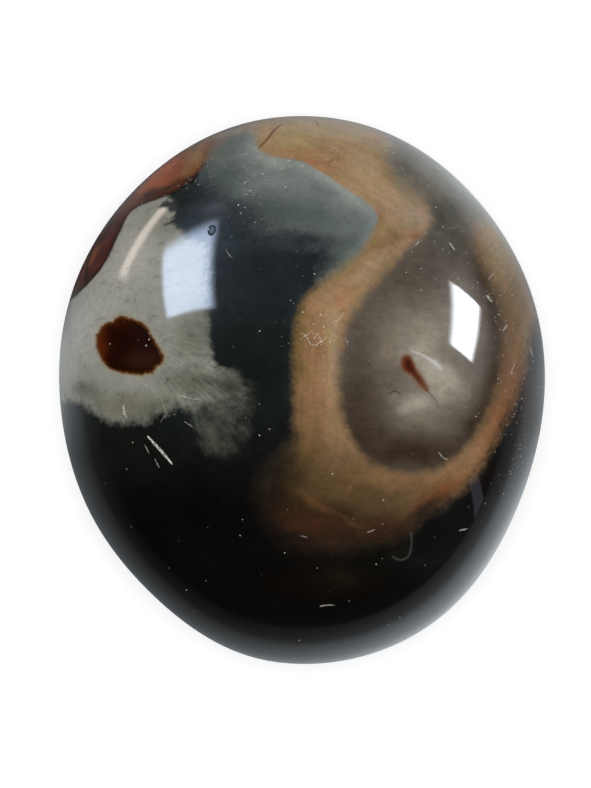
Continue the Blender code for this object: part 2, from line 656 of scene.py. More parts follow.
SPOT = Marking(
    "spot",
    painted(
        Tint.MAHOGANY, (Tint.CHESTNUT, 146, 360, 16, 10, -20, 0.9),
        (Tint.BURNT_SUGAR, 96, 344, 11, 24, 0, 0.9), (Tint.BURNT_SUGAR, 118, 320, 16, 7, 0, 0.4),
    ),
    even_fade(
        1, (97, 342), (98, 334), (105, 324), (112, 322), (121, 316), (133, 319), (146, 325), (152, 335),
        (164, 356), (161, 365), (157, 366), (153, 373), (148, 373), (142, 375), (120, 372), (107, 366),
        (99, 352),
    ),
    absence=3.0,
)

BAND = Marking(
    "band",
    painted(
        Tint.TAN, (Tint.STRAW, 290, 134, 40, 14, 4, 0.8), (Tint.SAND, 345, 126, 60, 10, 8, 0.9),
        (Tint.COPPER, 318, 162, 28, 6, 28, 0.8), (Tint.COPPER, 306, 148, 24, 6, 4, 0.5),
        (Tint.SAND, 366, 172, 26, 26, 30, 0.7), (Tint.OCHRE, 388, 177, 8, 7, 0, 0.5),
        (Tint.SAND, 392, 196, 14, 10, 0, 0.5), (Tint.ROSE_TAN, 411, 219, 28, 22, 30),
        (Tint.FAWN, 380, 214, 6, 12, 0, 0.4), (Tint.FAWN, 386, 242, 28, 9, -24, 0.7),
        (Tint.BURNT, 411, 239, 7, 4, 0, 0.5), (Tint.OLIVE, 330, 274, 50, 9, -42),
        (Tint.OLIVE, 301, 304, 9, 26, 24), (Tint.ROSE_TAN, 366, 268, 24, 6, -42, 0.6),
        (Tint.COPPER, 342, 298, 16, 5, -40, 0.7), (Tint.OLIVE, 299, 372, 11, 90),
        (Tint.FAWN, 304, 424, 16, 26, 0, 0.7), (Tint.CLAY, 315, 365, 9, 66),
        (Tint.OCHRE, 345, 266, 44, 10, -42, 0.8), (Tint.ROSE_TAN, 334, 350, 6, 44, 0, 0.6),
        (Tint.CLAY, 320, 425, 18, 34, 0, 0.8), (Tint.DARK_UMBER, 304, 524, 150, 66),
        (Tint.OLIVE_UMBER, 345, 484, 62, 22, 6), (Tint.OLIVE, 308, 450, 16, 22, 0, 0.4),
        (Tint.DARK_UMBER, 282, 490, 26, 52, 0, 0.9), (Tint.CLAY, 400, 474, 46, 9, 2, 0.8),
        (Tint.CLAY, 452, 472, 24, 10, -35, 0.7), (Tint.BURNT, 442, 494, 34, 10, -30, 0.8),
        (Tint.RED_UMBER, 328, 524, 66, 14, 6, 0.8), (Tint.DARK_UMBER, 426, 508, 22, 8, -25, 0.7),
        (Tint.OLIVE, 312, 494, 20, 4, 32, 0.4), (Tint.BURNT, 324, 503, 28, 4, 30, 0.4),
        (Tint.CLAY, 330, 507, 9, 2.5, 26, 0.4), (Tint.DARK_UMBER, 346, 513, 26, 4, 26, 0.8),
        (Tint.OLIVE, 357, 521, 16, 3, 22, 0.6), (Tint.BURNT, 304, 526, 26, 10, 20, 0.35),
        (Tint.RED_UMBER, 390, 522, 26, 12, -10, 0.7), (Tint.FAWN, 508, 350, 24, 70, -4),
        (Tint.BURNT, 500, 420, 14, 50, 24, 0.6), (Tint.OLIVE, 518, 300, 13, 36, -12, 0.7),
        (Tint.OCHRE, 500, 250, 16, 24, -28, 0.8),
    ),
    Outline((
        (263, 153, 3), (296, 160, 2), (312, 166, 2), (366, 201, 2), (376, 212, 2), (377, 223, 3),
        (364, 248, 7), (337, 272, 8), (310, 293, 7), (296, 325, 6), (294, 420, 7), (296, 442, 12),
        (276, 476, 28), (276, 514, 30), (314, 535, 24), (366, 537, 20), (406, 526, 17), (420, 513, 13),
        (442, 503, 11), (476, 475, 8), (517, 393, 8), (535, 322, 10), (560, 300, 8), (640, 320, 8),
        (680, 240, 9), (650, 120, 9), (560, 30, 9), (440, -10, 9), (340, 20, 9), (280, 70, 8), (257, 132, 7),
    )),
    back_painting=painted(
        Tint.CLAY, (Tint.ROSE_TAN, 400, 190, 70, 20, 30), (Tint.OLIVE, 340, 200, 40, 18, 30),
        (Tint.TAN, 560, 340, 30, 80), (Tint.BURNT, 470, 490, 50, 20, -10),
        (Tint.OLIVE_UMBER, 430, 440, 16, 60),
    ),
    back_outline=even_fade(
        7, (280, 80), (400, 60), (520, 130), (600, 240), (610, 380), (560, 470), (490, 520), (420, 500),
        (416, 440), (436, 380), (430, 320), (390, 260), (330, 220), (290, 160),
    ),
)

EYE = Marking(
    "eye",
    painted(
        Tint.TAUPE, (Tint.PLUM, 360, 370, 30, 72), (Tint.PLUM, 415, 268, 54, 22, -22),
        (Tint.OLIVE_ASH, 452, 232, 28, 26, 10), (Tint.UMBER, 358, 408, 26, 36, 0, 0.6),
        (Tint.UMBER, 490, 292, 12, 48, -14, 0.9), (Tint.UMBER, 498, 372, 12, 46, 8, 0.9),
        (Tint.UMBER, 480, 420, 18, 40, 30), (Tint.UMBER, 412, 454, 72, 20),
        (Tint.UMBER, 362, 436, 22, 24, -30, 0.8), (Tint.PALE_TAUPE, 424, 330, 34, 22),
        (Tint.BONE, 422, 347, 17, 12, 0, 0.7), (Tint.WARM_TAUPE, 392, 348, 20, 34, 0, 0.8),
        (Tint.PALE_TAUPE, 436, 386, 19, 17), (Tint.BONE, 434, 369, 31, 14, 34),
        (Tint.BONE, 417, 404, 19, 14, 10, 0.9), (Tint.WARM_TAUPE, 422, 424, 28, 8, 4, 0.8),
        (Tint.ASH, 430, 150, 70, 60, 0, 0.9), (Tint.SAND, 386, 146, 14, 16, 0, 0.7),
        (Tint.PALE_ASH, 456, 170, 46, 8, 48, 0.7), (Tint.PALE_ASH, 404, 132, 26, 7, 30, 0.6),
        (Tint.OLIVE_ASH, 406, 168, 15, 11, 20, 0.5), (Tint.LICHEN, 412, 190, 20, 9, 35, 0.7),
        (Tint.OLIVE_ASH, 450, 212, 22, 17), (Tint.ASH, 482, 216, 20, 14, 50),
    ),
    Outline((
        (402, 253, 7), (381, 275, 10), (352, 314, 8), (344, 331, 8), (338, 378, 8), (345, 426, 7),
        (370, 460, 7), (408, 475, 7), (446, 465, 7), (478, 433, 8), (497, 392, 8), (505, 350, 10),
        (505, 308, 12), (481, 250, 12), (478, 232, 12), (492, 216, 12), (590, 150, 10), (570, 80, 10),
        (500, 40, 10), (430, 50, 10), (394, 108, 10), (382, 146, 11), (391, 172, 9), (399, 187, 9),
        (412, 198, 9), (427, 206, 8), (430, 227, 6),
    )),
    back_painting=painted(Tint.TAUPE, (Tint.PALE_TAUPE, 500, 340, 24, 44), (Tint.UMBER, 480, 400, 30, 20)),
    back_outline=even_fade(
        6, (462, 250), (510, 250), (546, 300), (548, 370), (510, 430), (468, 420), (452, 350),
    ),
)

# The pit's colour is the stone's grey with a painted reflection of the window's blue.
PIT = Marking(
    "pit",
    painted(Tint.WORN_BLUE),
    even_fade(
        0.6, (214, 225), (216, 227), (216, 230), (214, 234), (211, 235), (209, 233), (209, 229), (211, 226),
    ),
    absence=3.0,
)

STROKES = (
    *drawn(
        Mark.SCRATCH,
        (1, (149, 437, 0.8), (160, 449, 1.4), (172, 463, 0.9)),
        (0.6, (124, 407, 0.9), (125, 413, 1.2), (127, 417, 0.7)), (0.4, (146, 446, 0.5), (149, 452, 0.6)),
        (0.4, (156, 460, 0.6), (159, 466, 0.6)),
        (0.2, (143, 382, 0.5), (155, 391, 0.5), (163, 402, 0.5), (165, 413, 0.5), (162, 421, 0.5)),
        (0.25, (163, 419, 0.5), (167, 415, 0.5), (166, 410, 0.5)),
        (0.3, (180, 395, 0.6), (190, 398, 0.7), (202, 400, 0.4)), (0.35, (186, 422, 0.6), (192, 426, 0.5)),
        (0.5, (440, 453, 0.5), (443, 457, 0.7), (447, 459, 0.5)),
        (0.55, (322, 606, 0.8), (327, 605, 0.6), (333, 605, 0.5)),
        (0.6, (303, 333, 0.5), (307, 337, 0.6), (311, 344, 0.4)),
        (0.65, (316, 346, 0.5), (320, 342, 0.7), (323, 341, 0.5)),
        (0.4, (337, 323, 0.4), (340, 318, 0.5), (344, 313, 0.4)), (0.35, (346, 338, 0.4), (348, 344, 0.5)),
        (0.45, (369, 532, 0.6), (374, 530, 0.5)), (0.3, (302, 536, 0.5), (307, 537, 0.5)),
        (0.6, (462, 530, 0.9), (466, 529, 0.8)), (0.3, (227, 250, 0.5), (229, 254, 0.5), (232, 257, 0.4)),
        (0.45, (490, 278, 0.6), (494, 274, 0.6)), (0.6, (451, 244, 1.0), (454, 248, 0.8)),
        (0.55, (488, 296, 1.3), (491, 300, 1.1)), (0.4, (531, 349, 1.0), (533, 355, 0.8)),
        (0.5, (419, 242, 0.6), (416, 245, 0.6)), (0.5, (304, 337, 0.5), (309, 334, 0.5), (313, 330, 0.4)),
        (0.6, (319, 335, 0.5), (322, 341, 0.7)), (0.55, (322, 341, 0.5), (326, 338, 0.5)),
        (0.5, (315, 338, 0.5), (318, 333, 0.4)), (0.55, (504, 330, 0.7), (507, 326, 0.7)),
        (0.35, (512, 371, 0.5), (515, 365, 0.6)), (0.25, (411, 393, 0.5), (418, 399, 0.5)),
        (0.25, (439, 394, 0.5), (444, 388, 0.5)),
    ),
    # Painted highlights: pale glints of reflected light, laid into the stone's colour as strokes.
    *drawn(
        Mark.GLINT,
        (0.62, (413, 351, 0.6), (421, 354, 1.2), (430, 359, 1.8), (437, 364, 2.1), (442, 369, 1.2)),
        (0.12, (394, 557, 0.5), (401, 560, 0.5), (409, 556, 0.5), (412, 545, 0.5), (412, 534, 0.5)),
    ),
    *drawn(
        Mark.HAIRLINE,
        (0.7, (101, 235, 1.2), (94, 247, 1.2), (89, 260, 1.2), (87, 272, 1.2), (87, 284, 1.2)),
        (0.55, (390, 393, 0.8), (396, 391, 1.0), (401, 394, 0.6)),
        (0.6, (427, 390, 0.8), (433, 396, 0.6), (439, 404, 0.4)),
        (0.35, (126, 366, 0.7), (134, 354, 0.6), (145, 343, 0.4)),
    ),
    *drawn(
        Mark.CRACK,
        (0.85, (281, 125, 0.7), (274, 131, 1.3), (267, 140, 1.1), (260, 147, 0.8)),
        (0.5, (317, 122, 1.1), (319, 125, 0.8)), (0.5, (329, 162, 1.1), (333, 160, 1.3)),
        (0.4, (338, 160, 1.0), (340, 156, 0.8)),
    ),
    *drawn(
        Mark.HALO,
        (0.5, (407, 360, 6.6), (409, 366, 7.6), (415, 373, 5.8), (421, 381, 6.0), (427, 389, 3.8)),
    ),
    *drawn(
        Mark.DART,
        (0.95, (407.5, 360.5, 6.3), (409, 366, 7.2), (415, 373, 4.2), (421, 381, 4.0), (427, 389, 2.5)),
    ),
    *drawn(Mark.CORE, (0.85, (408.5, 362, 3.4), (410, 367, 3.6), (415, 373, 1.8), (419, 378, 1.6))),
)

FLECKED = tuple(Cloud(Tint.BONE, *place) for place in (
    (250, 178, 18, 28), (284, 160, 34, 10, 0, 0.8), (330, 170, 60, 30, 0, 0.15), (316, 334, 26, 16),
    (498, 296, 24, 56, 0, 0.55), (515, 420, 24, 50, 0, 0.4), (440, 250, 60, 36, 0, 0.15),
    (195, 175, 24, 16, -30, 0.4), (142, 330, 18, 18, 0, 0.4),
))


class Recipe:
    """A material's node tree, built from small steps."""

    def __init__(self, name: str) -> None:
        """Starts an empty material.

        Args:
            name: Its name.
        """
        self.material = bpy.data.materials.new(name)
        self.material.use_nodes = True
        self.tree = self.material.node_tree
        self.tree.nodes.clear()

    def feed(self, socket: Socket, value: object) -> None:
        """Links a socket to another, or sets it.

        Args:
            socket: The socket.
            value: The socket that it is linked to, or else a number, vector or colour.
        """
        if isinstance(value, bpy.types.NodeSocket):
            self.tree.links.new(value, socket)
        else:
            socket.default_value = value

    def node(self, kind: str, *values: object, **settings: object) -> bpy.types.Node:
        """Makes a shader node.

        Args:
            kind: Blender's name for it, without the prefix.
            values: What its first sockets are fed, with None for one that isn't.
            settings: Its settings, by name.

        Returns:
            The node.
        """
        made = self.tree.nodes.new("ShaderNode" + kind)
        for setting, value in settings.items():
            setattr(made, setting, value)
        for socket, value in zip(made.inputs, values):
            if value is not None:
                self.feed(socket, value)
        return made

    def maths(self, operation: str, *values: object) -> Socket:
        """One arithmetic step, by Blender's name for it."""
        return self.node("Math", *values, operation=operation).outputs[0]

    def times(self, value: object, factor: object) -> Socket:
        """The product of two values."""
        return self.maths("MULTIPLY", value, factor)

    def sum(self, *parts: tuple[object, float]) -> Socket:
        """The sum of several values.

        Args:
            parts: Each value and the number that it is multiplied by.

        Returns:
            A socket that gives the sum.
        """
        total: object = 0.0
        for value, factor in parts:
            total = self.maths("MULTIPLY_ADD", value, factor, total)
        assert isinstance(total, bpy.types.NodeSocket)
        return total

    def rise(self, value: object, low: object, high: object, top: object = 1.0) -> Socket:
        """Rises smoothly from 0 where value is low to the top where it is high."""
        return self.node("MapRange", value, low, high, 0.0, top, interpolation_type="SMOOTHSTEP").outputs[0]

    def read(self, name: str, output: str) -> Socket:
        """What the painting left on the mesh under a name, from Blender's output for its kind."""
        return self.node("Attribute", attribute_name=name).outputs[output]

    def triple(self, name: str) -> list[Socket]:
        """The three numbers that the painting left on the mesh under that name."""
        return list(self.node("SeparateXYZ", self.read(name, "Vector")).outputs)

    def stretched(self, vector: Socket, by: Triple) -> Socket:
        """A vector with each of its numbers multiplied by its own factor."""
        return self.node("VectorMath", vector, by, operation="MULTIPLY").outputs[0]

    def noise(self, vector: Socket, scale: float, detail: float, roughness: float) -> Socket:
        """Smooth noise that goes about as far below zero as above it.

        Args:
            vector: The place, in millimetres.
            scale: How many swells there are to a millimetre.
            detail: How many finer layers lie on them.
            roughness: How strong each finer layer is.

        Returns:
            A socket that gives about -0.5 to 0.5.
        """
        made = self.node("TexNoise", vector, None, scale, detail, roughness)
        return self.maths("SUBTRACT", made.outputs["Fac"], 0.5)

    def mix(self, share: object, under: object, over: object, blend: str = "MIX") -> Socket:
        """Lays one colour over another, by a share and Blender's name for the way that they mix."""
        values = share, *(None,) * 5, under, over
        return self.node("Mix", *values, data_type="RGBA", blend_type=blend).outputs[2]

    def brightened(self, colour: Socket, by: Socket) -> Socket:
        """A colour made brighter by a share of itself, or darker where the share is negative."""
        level = self.maths("MAXIMUM", self.maths("ADD", by, 1.0), 0.0)
        return self.node("VectorMath", colour, None, None, level, operation="SCALE").outputs[0]

    def end(self, kind: str, **values: object) -> bpy.types.Material:
        """Finishes the material.

        Args:
            kind: The shader, by Blender's name for it without the prefix.
            values: What its sockets are fed, by their names in lower case.

        Returns:
            The material.
        """
        shader = self.node(kind)
        for socket in shader.inputs:
            value = values.get(socket.name.lower().replace(" ", "_"))
            if value is not None:
                self.feed(socket, value)
        self.node("OutputMaterial", shader.outputs[0])
        return self.material


@dataclass(frozen=True)
class JasperPainting:
    """All of the pebble's markings, laid on its mesh as numbers and colours for its finish to read."""

    view: PhotoView
    markings: tuple[Marking, ...] = (BODY, SLATE, SAGE, PLUME, FEATHER, RUST, SPOT, BAND, EYE, PIT)
    strokes: tuple[Stroke, ...] = STROKES
    flecked: tuple[Cloud, ...] = FLECKED
    ray_middle: Pair = (128.0, 322.0)
    combed: Cloud = Cloud(Tint.SAGE, 226, 388, 62, 42, 30)
    back_depths: Pair = (-1.0, 19.0)
    face_drift: Drift = Drift(3)
    back_drift: Drift = Drift(5)
    sway: float = 2.0
    sway_size: float = 9.0
    sway_onset: float = 3.0
    stray_drift: Drift = Drift(11)
    strays: tuple[Pair, ...] = ((7.0, 0.9), (2.6, 0.55), (1.3, 0.3))
    reach: float = 1.15
    full_reach: float = 0.7
    broad: float = 0.4
    end_fade: float = 0.4
    back_fade: float = 4.0

    def lay_on(self, mesh: bpy.types.Mesh, points: np.ndarray) -> None:
        """Leaves every marking's edges and colours, and every stroke, on the mesh.

        Args:
            mesh: The fine surface.
            points: Its points.
        """
        back = eased(-points[:, 2], *self.back_depths)
        sway = self.sway * np.minimum(back * self.sway_onset, 1)
        places = self.view.laid_over(points) + self.face_drift.at(points, self.sway_size) * sway[:, None]
        behind = points[:, :2] + self.back_drift.at(points, self.sway_size) * self.sway
        stray = sum(self.stray_drift.at(points, size) * amount for size, amount in self.strays)
        for marking in self.markings:
            self.leave_marking(mesh, marking, (places, behind), stray, back[:, None])
        offset = places - self.view.millimetres([self.ray_middle])[0]
        pixels = self.view.pixels(places)
        angle, distance = np.arctan2(offset[:, 1], offset[:, 0]), np.hypot(*offset.T)
        leave(mesh, "rays", np.column_stack((angle, distance, self.combed.cover(pixels))))
        flecked = np.max([cloud.cover(pixels) for cloud in self.flecked], axis=0)
        leave(mesh, "flecked", flecked * (1 - back))
        for name, strokes in self.stroke_layers().items():
            leave(mesh, name, self.stroked(strokes, places, back))

    def leave_marking(
        self, mesh: bpy.types.Mesh, marking: Marking, grids: Sequence[np.ndarray], stray: np.ndarray,
        back: np.ndarray,
    ) -> None:
        """Leaves a marking's colours and how each point lies to its outlines.

        Args:
            mesh: The fine surface.
            marking: The marking.
            grids: Where each point is on the face's grid, and on the back's.
            stray: How far the colours wander from there.
            back: How much of the back's painting shows at each point.
        """
        places, behind = grids
        colour = marking.painting.at(self.view.pixels(places + stray))
        if marking.back_painting:
            hidden = marking.back_painting.at(self.view.pixels(behind + stray))
            colour += (hidden - colour) * back
        leave(mesh, marking.name + "_colour", linear(colour))
        if marking.outline:
            edges = marking.outline.measured(places, self.view)
            hidden = edges * (0, 1, 1) - (marking.absence, 0, 0)
            if marking.back_outline:
                hidden = marking.back_outline.measured(behind, self.view)
                hidden[:, 1] = edges[:, 1]
            leave(mesh, marking.name + "_edge", edges + (hidden - edges) * back)

    def stroke_layers(self) -> dict[str, list[Stroke]]:
        """Shares the strokes out so that no two in one layer come near each other.

        Returns:
            Each layer's strokes, by its name.
        """
        layers: dict[str, list[Stroke]] = {}
        clear = 2 * self.reach * self.view.pixels_per_mm
        for stroke in self.strokes:
            own = np.array(stroke.knots)[:, None, :2]
            for number in itertools.count():
                layer = layers.setdefault(f"{stroke.mark.name.lower()}_{number}", [])
                gaps = [np.hypot(*(own - np.array(other.knots)[None, :, :2]).T).min() for other in layer]
                if min(gaps, default=np.inf) > clear:
                    layer.append(stroke)
                    break
        return layers

    def stroked(self, strokes: list[Stroke], places: np.ndarray, back: np.ndarray) -> np.ndarray:
        """Where each place is on its nearest stroke of one layer.

        Args:
            strokes: The layer's strokes.
            places: Two coordinates for each place.
            back: How much of the back's painting shows there, which the strokes aren't part of.

        Returns:
            For each place, how far it is to the side of the stroke, the stroke's half width there, which is
            nothing away from it, and how strongly it shows.
        """
        nearest = np.full(len(places), np.inf)
        found = np.zeros((len(places), 3))
        for stroke in strokes:
            curve = stroke.curve(self.view)
            widest = curve[:, 2].max()
            reach = self.reach + widest
            for start, end in zip(curve, curve[1:]):
                side = end[:2] - start[:2]
                length = float(np.hypot(*side))
                offset = places - start[:2]
                run = offset @ side / length**2
                kept = np.clip(run, 0, 1)
                past = np.abs(run - kept) * length
                aside = (side[0] * offset[:, 1] - side[1] * offset[:, 0]) / length
                apart = np.hypot(aside, past)
                closer = apart < nearest
                nearest[closer] = apart[closer]
                fade = 1 - eased(apart, reach * self.full_reach, reach)
                if widest < self.broad:
                    fade *= 1 - eased(past, 0.0, self.end_fade)
                else:
                    aside = apart
                width = (start[2] + (end[2] - start[2]) * kept) * fade
                found[closer] = np.column_stack((aside, width, np.full(len(aside), stroke.strength)))[closer]
        found[:, 1] *= 1 - np.minimum(back * self.back_fade, 1)
        return found


class JasperFinish(Recipe):
    """Polished jasper: how its markings meet and vary, and the shine of its polish."""

    refraction: float = 1.54
    shine_roughness: float = 0.035
    haze_roughness: float = 0.3
    haze_level: float = 0.06
    most_jagged: float = 1.2
    grain_roughness: float = 0.06
    marked_roughness: float = 0.3
    scratch_dullness: float = 0.5
    grain_rise: float = 4e-7
    mottle_rise: float = 2e-6
    scratch_rise: float = -1e-5
    pit_rise: float = -2e-4

    def __init__(self, strokes: Sequence[str]) -> None:
        """Starts the material with the stone's random texture, at four scales, on its dark body.

        Args:
            strokes: The names of the layers of strokes.
        """
        super().__init__(SLOT)
        self.strokes = strokes
        self.place = self.stretched(self.node("TexCoord").outputs["Object"], (1 / MM,) * 3)
        self.swell = self.noise(self.place, 0.17, 4.0, 0.55)
        self.mottle = self.noise(self.place, 0.62, 4.0, 0.6)
        self.grain = self.noise(self.place, 2.0, 3.0, 0.6)
        self.fine = self.noise(self.place, 5.5, 2.0, 0.6)
        angle, distance, self.combing = self.triple("rays")
        self.rays = self.streaks(angle, 9.0, distance, 0.3, 4.0, 0.62)
        self.fibres = self.streaks(angle, 26.0, distance, 0.5, 4.0, 0.62)
        self.stone = self.varied("body", swell=0.9, mottle=0.7, grain=0.5, fine=0.2)

    def streaks(
        self, along: Socket, fine: float, across: Socket, dense: float, detail: float, roughness: float
    ) -> Socket:
        """Noise drawn out between two measures, each multiplied by how many swells it has to a millimetre."""
        joined = self.node("CombineXYZ", along, across, 0.0).outputs[0]
        return self.noise(self.stretched(joined, (fine, dense, 1.0)), 1.0, detail, roughness)

    def hairs(self, turn: float, length: float, width: float, detail: float, roughness: float) -> Socket:
        """Noise in fine strands.

        Args:
            turn: How far they are turned anticlockwise from level, in degrees.
            length: Their length.
            width: Their width.
            detail: As for noise.
            roughness: As for noise.

        Returns:
            A socket that gives about -0.5 to 0.5.
        """
        values = self.place, None, (0.0, 0.0, math.radians(turn)), (length, width, length)
        strands = self.node("Mapping", *values, vector_type="TEXTURE").outputs[0]
        return self.noise(strands, 1.0, detail, roughness)

    def blend(self, *others: tuple[Socket, float], **weights: float) -> Socket:
        """The sum of the random texture's named scales and of other values, each by its weight."""
        return self.sum(*others, *((getattr(self, name), weight) for name, weight in weights.items()))

    def varied(self, name: str, *others: tuple[Socket, float], **weights: float) -> Socket:
        """A marking's own colour, made brighter and darker by a blend."""
        return self.brightened(self.read(name + "_colour", "Color"), self.blend(*others, **weights))

    def shown(self, name: str, rough: Socket, own: float) -> Socket:
        """How much of a marking shows, with its edge roughened in step with its fade.

        Args:
            name: The marking.
            rough: Noise that moves the edge by about the fade.
            own: How far the noise moves even the sharpest edge, in millimetres.

        Returns:
            A socket from 0 outside the marking to 1 inside it.
        """
        depth, _, fade = self.triple(name + "_edge")
        jagged = self.maths("ADD", self.maths("MINIMUM", fade, self.most_jagged), own)
        moved = self.maths("MULTIPLY_ADD", rough, jagged, depth)
        return self.rise(moved, self.times(fade, -1.0), fade)

    def cover(self, share: Socket, colour: object) -> None:
        """Lays a colour on the stone, by a share."""
        self.stone = self.mix(share, self.stone, colour)

    def slate(self) -> None:
        """Lays on the slate corner, which sinks into the dark through mottling."""
        rough = self.blend(mottle=1.6, grain=1.4, swell=0.6)
        colour = self.varied("slate", swell=0.35, mottle=0.5, grain=0.4, fine=0.3)
        self.cover(self.shown("slate", rough, 0.1), colour)

    def plume(self) -> None:
        """Lays on the smoky plume that trails from the sage patch."""
        rough = self.blend(rays=2.6, fibres=1.6, mottle=1.2, grain=0.9)
        colour = self.varied("plume", rays=1.8, fibres=1.5, mottle=0.8, grain=0.5)
        thin = self.rise(self.blend(rays=1.0, mottle=0.8), -0.45, 0.15)
        self.cover(self.times(self.shown("plume", rough, 0.0), self.sum((thin, 0.45), (1.0, 0.55))), colour)

    def sage(self) -> None:
        """Lays on the pale sage patch, smudged and faintly streaked."""
        rough = self.blend(rays=1.4, fibres=0.8, mottle=1.4, grain=1.2, fine=0.4)
        smudge = self.noise(self.stretched(self.place, (0.42, 0.8, 0.6)), 1.0, 5.0, 0.68)
        dark = self.rise(smudge, 0.02, 0.26, 0.42)
        combed = self.times(self.blend(rays=1.0, fibres=1.3), self.combing)
        others = (combed, 1.5), (smudge, -0.25), (dark, -1.0)
        colour = self.varied("sage", *others, rays=0.2, mottle=0.35, grain=0.35, fine=0.3)
        self.cover(self.shown("sage", rough, 0.05), colour)

    def feather(self) -> None:
        """Lays on the dark feather that reaches into the sage patch with fine fingers."""
        hairs = self.hairs(28.0, 1.6, 0.5, 5.0, 0.68)
        shown = self.shown("feather", self.blend((hairs, 4.0), mottle=1.5, grain=1.0), 0.35)
        self.cover(self.times(shown, 0.93), self.varied("feather", (hairs, 1.3), grain=0.5))

    def rust(self) -> None:
        """Lays on the rust and maroon corner, with its dark outline and banding."""
        depth, along, fade = self.triple("rust_edge")
        banding = self.streaks(along, 0.12, depth, 1.3, 3.0, 0.6)
        colour = self.varied("rust", (banding, 1.0), mottle=0.5, grain=0.6, fine=0.3)
        line = self.rise(self.blend((depth, 1.0), grain=0.4, mottle=0.5), 0.62, 0.12, 0.75)
        colour = self.mix(self.times(line, self.rise(fade, 0.6, 0.3)), colour, seen(Tint.DARK_MAROON))
        self.cover(self.shown("rust", self.blend(grain=1.0, mottle=1.0, fine=0.4), 0.05), colour)

    def spot(self) -> None:
        """Lays on the mahogany spot in its ragged amber rim."""
        depth, along, _ = self.triple("spot_edge")
        spikes = self.streaks(along, 1.6, depth, 1.0, 3.0, 0.65)
        moved = self.blend((depth, 1.0), (spikes, 0.75), grain=0.25, fine=0.2)
        heart = self.varied("spot", (spikes, 0.5), mottle=0.6)
        self.cover(self.rise(moved, -0.55, -0.08, 0.45), seen(Tint.OCHRE))
        rim = self.mix(self.rise(moved, -0.04, 0.5), seen(Tint.AMBER), heart)
        self.cover(self.rise(moved, -0.2, 0.12), rim)

    def band(self) -> None:
        """Lays on the tan band, streaked along its length and mottled from olive to rose."""
        depth, along, _ = self.triple("band_edge")
        streaks = self.streaks(along, 0.10, depth, 1.1, 4.0, 0.62)
        slanted = self.hairs(-32.0, 3.4, 0.8, 4.0, 0.6)
        rough = self.blend((streaks, 0.7), mottle=1.1, grain=0.7, fine=0.3)
        self.stone = self.brightened(self.stone, self.rise(depth, -2.0, -0.1, 0.35))
        colour = self.varied("band", (streaks, 0.5), (slanted, 0.4), mottle=0.45, grain=0.45, fine=0.35)
        hue = self.rise(self.noise(self.place, 0.45, 5.0, 0.65), -0.18, 0.18)
        warm = self.mix(hue, (0.93, 0.99, 0.84, 1), (1.07, 0.97, 1.02, 1))
        self.cover(self.shown("band", rough, 0.05), self.mix(0.75, colour, warm, "MULTIPLY"))

    def eye(self) -> None:
        """Lays on the taupe eye inside the band, fibrous round its edge and pale at heart."""
        depth, along, _ = self.triple("eye_edge")
        fibres = self.streaks(along, 1.3, depth, 0.3, 4.0, 0.65)
        rough = self.blend((fibres, 1.1), grain=0.8, mottle=1.6, fine=0.3)
        brushed = self.hairs(-12.0, 2.6, 1.0, 5.0, 0.64)
        frayed = self.times(self.rise(depth, 3.2, 0.4), fibres)
        colour = self.varied("eye", (frayed, 0.6), (brushed, 0.65), mottle=0.6, grain=0.4, fine=0.3)
        self.cover(self.shown("eye", rough, 0.08), colour)

    def stroked(self) -> Socket:
        """Lays on the scratches, cracks, veins and hairlines, the rust dart in the eye, and the painted
        highlights of the glints.

        Returns:
            How far scratches break the polish.
        """
        marked: Socket | float = 0.0
        for name in self.strokes:
            mark = Mark[name.rsplit("_", 1)[0].upper()]
            aside, width, strength = self.triple(name)
            blur = SOFT.get(mark, SHARP)
            ragged = min(blur, 0.2) * 0.7
            inside = self.maths("SUBTRACT", width, self.maths("ABSOLUTE", aside))
            moved = self.blend((inside, 1.0), fine=ragged, grain=ragged)
            present = self.times(self.rise(width, 0.01, 0.05), strength)
            if mark is Mark.SCRATCH:
                present = self.rise(self.fine, -0.16, 0.08, present)
            shown = self.rise(moved, -blur * 0.4, blur * 0.6, present)
            # For a glint layer this lays a painted highlight into the colour.
            self.cover(shown, seen(mark))
            if mark is Mark.SCRATCH:
                marked = self.maths("MAXIMUM", marked, shown)
        assert isinstance(marked, bpy.types.NodeSocket)
        return marked

    def flecked(self) -> Socket:
        """Lays on tiny pale chips and dust, thick in some places and thin in others.

        Returns:
            How much of them shows.
        """
        share = self.read("flecked", "Fac")
        total: Socket | float = 0.0
        for scale, most, least in ((0.9, 0.6, 0.04), (2.6, 0.95, 0.01)):
            cells = self.node("TexVoronoi", self.place, None, scale)
            draw = self.node("SeparateColor", cells.outputs["Color"]).outputs
            chosen = self.maths("LESS_THAN", draw[0], self.sum((share, most), (1.0, least)))
            size = self.sum((draw[1], 0.09 * scale), (1.0, 0.05 * scale))
            strength = self.times(chosen, self.sum((draw[2], 0.6), (1.0, 0.12)))
            inside = self.maths("SUBTRACT", size, cells.outputs["Distance"])
            shown = self.rise(inside, 0.0, 0.05 * scale, strength)
            self.cover(shown, seen(Mark.SCRATCH))
            total = self.maths("MAXIMUM", total, shown)
        assert isinstance(total, bpy.types.NodeSocket)
        return total

    def pitted(self) -> Socket:
        """Lays on the one small pit, dull inside: a painted shade darkens its rim, and its grey inside
        carries a painted reflection of the window's blue.

        Returns:
            How far it is hollow.
        """
        depth = self.triple("pit_edge")[0]
        hollow = self.rise(depth, -0.10, 0.12)
        # A painted shade round the pit's rim, over its grey with a painted reflection of the window's blue.
        rim = self.mix(self.rise(depth, 0.05, 0.25), seen(Tint.DUSK), self.read("pit_colour", "Color"))
        self.cover(hollow, rim)
        return hollow

